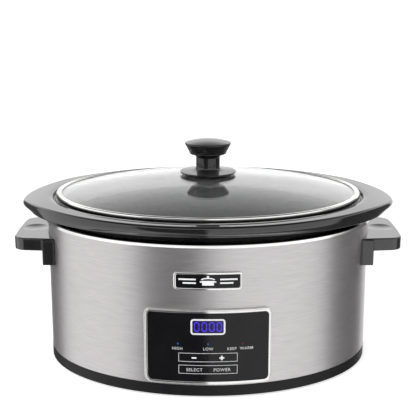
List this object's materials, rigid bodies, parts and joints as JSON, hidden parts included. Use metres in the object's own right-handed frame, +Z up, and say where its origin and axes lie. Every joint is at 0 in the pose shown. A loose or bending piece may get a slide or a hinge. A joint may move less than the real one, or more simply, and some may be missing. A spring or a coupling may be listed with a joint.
{
  "type": "slow cooker",
  "caption": "Oval digital slow cooker: brushed steel housing with keypad and display, lift-out black stoneware crock, domed glass lid with knob, side handles.",
  "frame": {"origin": "centre of the floor under the cooker, in the plane of the feet", "axes": "+Z up, +X towards the right-hand handle, -Y towards the control panel"},
  "size_m": [0.405, 0.299, 0.2332],
  "materials": {
    "brushed_shell": "horizontal fine brushing",
    "polished_steel": "polished",
    "aluminised_steel": "satin, rolled edge polished",
    "gloss_black": "gloss",
    "key_black": "satin",
    "moulded_black": "fine moulded texture",
    "black_glaze": "gloss glaze",
    "lid_glass": "clear tempered",
    "rubber": "matte",
    "zinc_steel": "zinc plated",
    "heater_cloth": "woven glass fibre",
    "glass_fibre": "needled blanket",
    "circuit_board": "solder mask",
    "component_black": "moulded",
    "relay_blue": "moulded",
    "terminal_grey": "moulded",
    "lead_sleeve": "braided sleeve",
    "white_line": "printed",
    "display_blue": "tinted window",
    "lamp_blue": "translucent",
    "lamp_red": "translucent"
  },
  "bodies": {
    "housing": {"badge_frame": "polished_steel", "badge_plate": "gloss_black", "base_pan": "moulded_black", "base_screws": "zinc_steel", "board_screws": "zinc_steel", "board_shield": "zinc_steel", "capacitor": "component_black", "control_board": "circuit_board", "display_frame": "white_line", "display_lens": "display_blue", "display_module": "component_black", "foot_1": "rubber", "foot_2": "rubber", "foot_3": "rubber", "foot_4": "rubber", "handle_backing_left": "zinc_steel", "handle_backing_right": "zinc_steel", "handle_bolts_left": "zinc_steel", "handle_bolts_right": "zinc_steel", "handle_left": "gloss_black", "handle_right": "gloss_black", "heat_shield": "zinc_steel", "heater_band": "heater_cloth", "heater_leads": "lead_sleeve", "heater_strap": "zinc_steel", "heating_well": "aluminised_steel", "inlet_bushing": "moulded_black", "insulation_wrap": "glass_fibre", "lamp_high": "lamp_blue", "lamp_low": "lamp_blue", "lamp_warm": "lamp_red", "outer_shell": "brushed_shell", "panel_bezel": "polished_steel", "panel_face": "gloss_black", "power_board": "circuit_board", "relay": "relay_blue", "ribbon_cable": "terminal_grey", "tact_switches": "component_black", "terminal_block": "terminal_grey", "thermal_fuse": "zinc_steel", "thermistor": "zinc_steel", "tie_nut": "zinc_steel", "tie_spacer": "zinc_steel", "tie_stud": "zinc_steel", "transformer": "component_black"},
    "crock": {"crock": "black_glaze"},
    "lid": {"lid_glass": "lid_glass", "lid_rim_band": "polished_steel", "lid_knob": "gloss_black", "knob_base_disc": "gloss_black", "knob_gasket": "rubber", "knob_clamp": "gloss_black", "knob_screw": "zinc_steel"},
    "minus_key": {"key_minus": "key_black"},
    "plus_key": {"key_plus": "key_black"},
    "select_key": {"key_select": "key_black"},
    "power_key": {"key_power": "key_black"}
  },
  "joints": [
    {"name": "crock_lift", "type": "slide", "parent": "housing", "child": "crock", "axis": [0, 0, 1], "range_m": [0, 0.16]},
    {"name": "lid_lift", "type": "slide", "parent": "crock", "child": "lid", "axis": [0, 0, 1], "range_m": [0, 0.12]},
    {"name": "minus_press", "type": "slide", "parent": "housing", "child": "minus_key", "axis": [0, 1, 0], "range_m": [0, 0.0006], "stiffness_N_per_m": 400, "springref_m": -0.001},
    {"name": "plus_press", "type": "slide", "parent": "housing", "child": "plus_key", "axis": [0, 1, 0], "range_m": [0, 0.0006], "stiffness_N_per_m": 400, "springref_m": -0.001},
    {"name": "select_press", "type": "slide", "parent": "housing", "child": "select_key", "axis": [0, 1, 0], "range_m": [0, 0.0006], "stiffness_N_per_m": 400, "springref_m": -0.001},
    {"name": "power_press", "type": "slide", "parent": "housing", "child": "power_key", "axis": [0, 1, 0], "range_m": [0, 0.0006], "stiffness_N_per_m": 400, "springref_m": -0.001}
  ]
}
